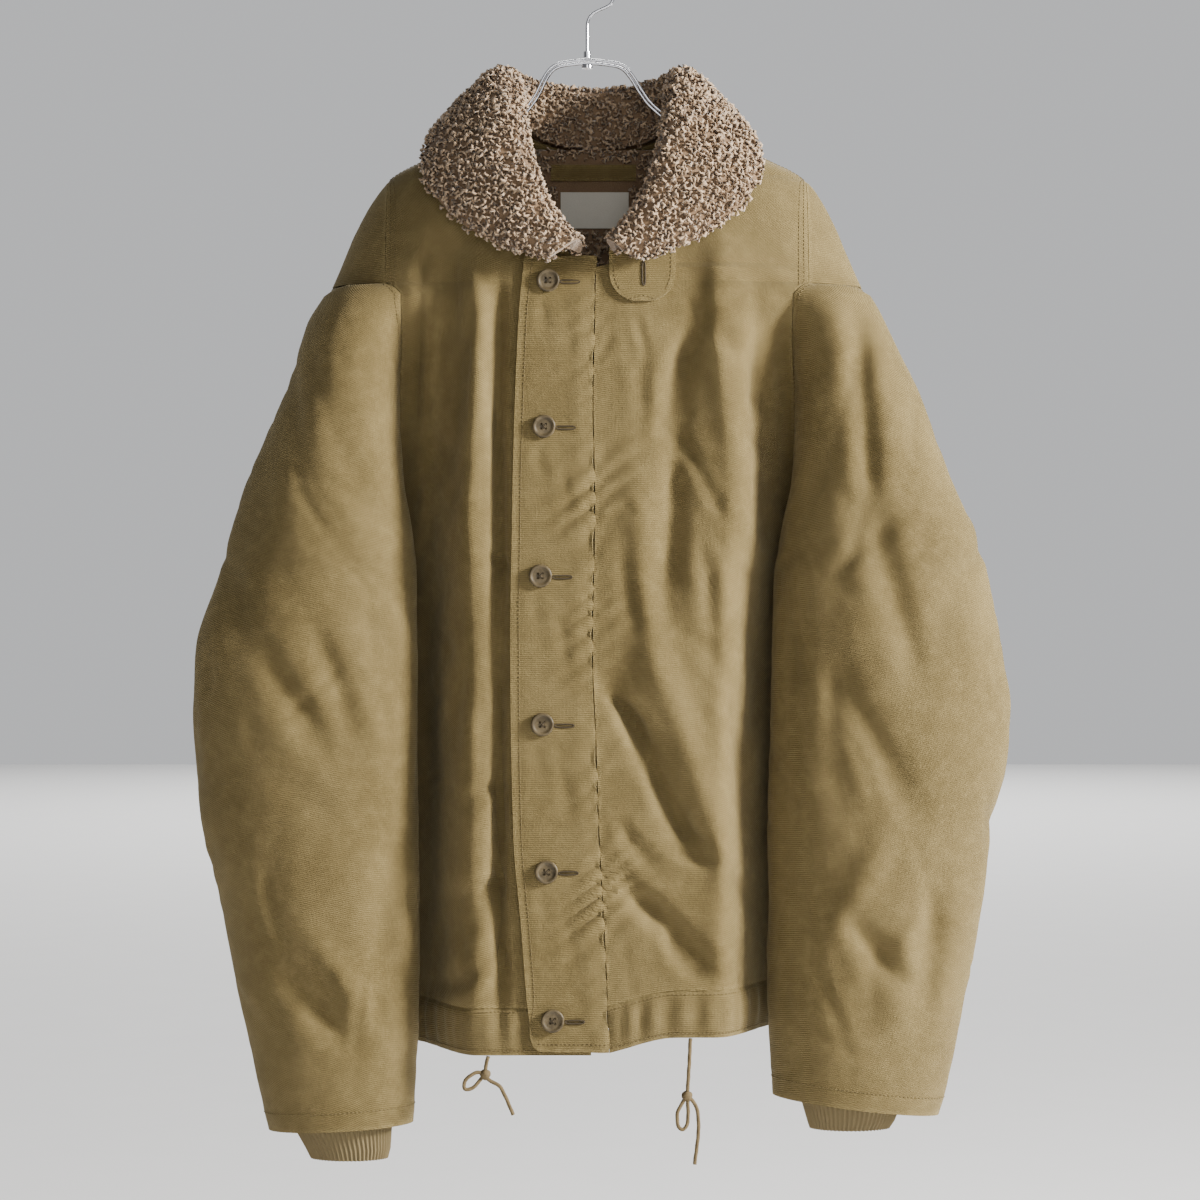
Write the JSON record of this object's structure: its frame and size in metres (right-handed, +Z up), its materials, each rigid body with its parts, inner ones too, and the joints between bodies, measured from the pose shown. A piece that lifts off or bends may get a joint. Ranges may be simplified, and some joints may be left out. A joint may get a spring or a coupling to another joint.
{
  "type": "deck jacket on a hanger",
  "caption": "Button-front deck jacket with a curly pile collar, knit cuffs and a drawcord hem, hanging on a chrome wire hanger.",
  "frame": {"origin": "inside top of the hanger's hook, where it rests on a rail", "axes": "+Z up, +Y towards the wall behind the jacket, +X towards the wearer's left"},
  "size_m": [0.6525, 0.1659, 0.9684],
  "materials": {
    "canvas": "olive cotton, fine dense rib weave, slightly napped and faded",
    "pile": "curly brown wool-like pile",
    "knit": "rib knit",
    "label": "woven off-white tape",
    "drawcord": "braided cotton cord",
    "button": "satin, four holes",
    "chrome": "polished"
  },
  "bodies": {
    "root": {"back": "canvas", "back_lining": "pile", "button_1": "button", "button_2": "button", "button_3": "button", "button_4": "button", "button_5": "button", "button_6": "button", "chin_tab": "canvas", "collar": "pile", "drawcord_knot_left": "drawcord", "drawcord_knot_right": "drawcord", "drawcord_lead_left": "drawcord", "drawcord_lead_right": "drawcord", "drawcord_loop_left": "drawcord", "drawcord_loop_right": "drawcord", "drawcord_tail_left": "drawcord", "drawcord_tail_right": "drawcord", "front_left": "canvas", "front_right": "canvas", "hanger_ferrule": "chrome", "hanger_hook": "chrome", "hanger_loop": "canvas", "hanger_rivet": "chrome", "hanger_wire": "chrome", "hem_casing_back": "canvas", "hem_casing_left": "canvas", "hem_casing_right": "canvas", "knit_cuff_left": "knit", "knit_cuff_right": "knit", "size_label": "label", "sleeve_left": "canvas", "sleeve_right": "canvas", "wind_flap": "canvas"}
  },
  "joints": []
}
